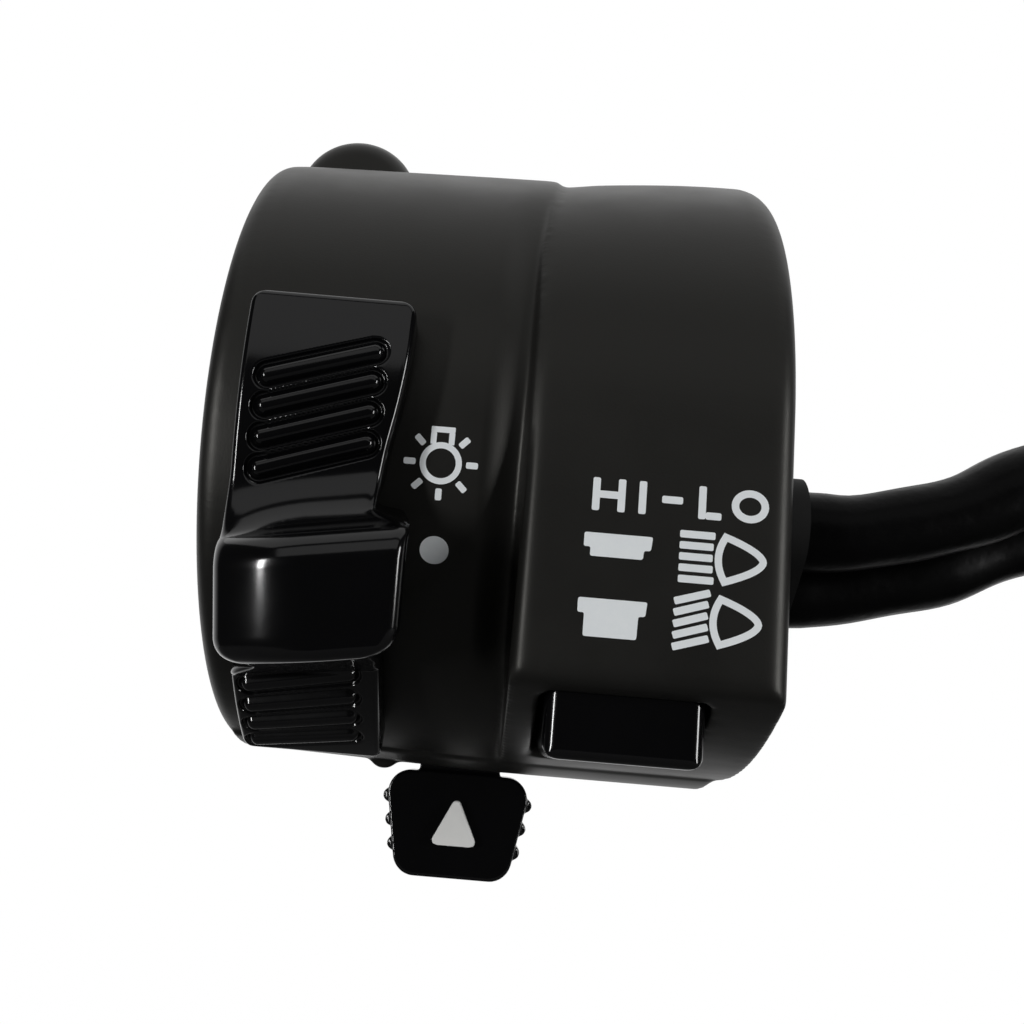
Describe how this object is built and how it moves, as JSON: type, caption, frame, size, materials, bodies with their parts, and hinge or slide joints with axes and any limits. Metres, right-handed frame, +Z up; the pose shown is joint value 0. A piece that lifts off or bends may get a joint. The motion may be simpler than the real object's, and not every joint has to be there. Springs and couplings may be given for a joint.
{
  "type": "handlebar switch cluster",
  "caption": "Handlebar switch cluster: split clamp housing with a headlamp arc slider, a turn-signal slide tab, a push-push beam button and a sleeved wiring loom.",
  "frame": {"origin": "handlebar axis at the middle of the housing's length", "axes": "+X along the bar towards the bike's middle, -Y towards the rider, +Z up"},
  "size_m": [0.1549, 0.0575, 0.0989],
  "materials": {
    "housing_plastic": "satin moulded black",
    "knob_plastic": "glossy black",
    "marker_white": "smooth white",
    "carrier_plastic": "natural acetal",
    "board_laminate": "brown phenolic laminate",
    "contact_brass": "plain brass",
    "screw_steel": "zinc plated",
    "spring_steel": "drawn wire",
    "grommet_rubber": "matte rubber",
    "loom_sleeve": "soft black vinyl sleeve",
    "tie_nylon": "black nylon",
    "connector_nylon": "off-white nylon"
  },
  "bodies": {
    "housing": {"front_housing": "housing_plastic", "rear_housing": "housing_plastic", "clamp_screws": "screw_steel", "clamp_inserts": "contact_brass", "light_board": "board_laminate", "light_contacts": "contact_brass", "turn_board": "board_laminate", "turn_contacts": "contact_brass", "beam_board": "board_laminate", "beam_contacts": "contact_brass", "board_screws": "screw_steel", "loom_grommet": "grommet_rubber", "loom_lead_a": "loom_sleeve", "loom_lead_b": "loom_sleeve", "loom_coil_a": "loom_sleeve", "loom_coil_b": "loom_sleeve", "loom_tie": "tie_nylon", "loom_connector_a": "connector_nylon", "loom_connector_b": "connector_nylon", "beam_spring": "spring_steel"},
    "light_slider": {"light_knob": "knob_plastic", "light_carrier": "carrier_plastic", "light_knob_screw": "screw_steel", "light_bridge": "contact_brass", "light_detent_ball": "spring_steel", "light_detent_spring": "spring_steel"},
    "turn_slider": {"turn_knob": "knob_plastic", "turn_marker": "marker_white", "turn_carrier": "carrier_plastic", "turn_bridge": "contact_brass", "turn_detent_ball": "spring_steel", "turn_detent_spring": "spring_steel"},
    "beam_plunger": {"beam_button": "knob_plastic", "beam_bridge": "contact_brass"},
    "latch": {"beam_latch_pin": "spring_steel"}
  },
  "joints": [
    {"name": "light_slide", "type": "hinge", "parent": "housing", "child": "light_slider", "pos_m": [-0.0116, 0, 0], "axis": [-1, 0, 0], "range_deg": [0, 13.5]},
    {"name": "turn_slide", "type": "slide", "parent": "housing", "child": "turn_slider", "axis": [1, 0, 0], "range_m": [-0.004, 0.004]},
    {"name": "beam_press", "type": "slide", "parent": "housing", "child": "beam_plunger", "axis": [0, 0, 1], "range_m": [0, 0.003], "stiffness_N_per_m": 400, "springref_m": -0.004, "deforming": ["beam_spring"]},
    {"name": "latch_swing", "type": "hinge", "parent": "housing", "child": "latch", "pos_m": [0.0101, -0.0212, -0.005], "axis": [0, -1, 0], "range_deg": [0, 9.4]}
  ],
  "couplings": [
    {"joint": "latch_swing", "follows": "beam_press", "rad_per_m": 54.114}
  ]
}
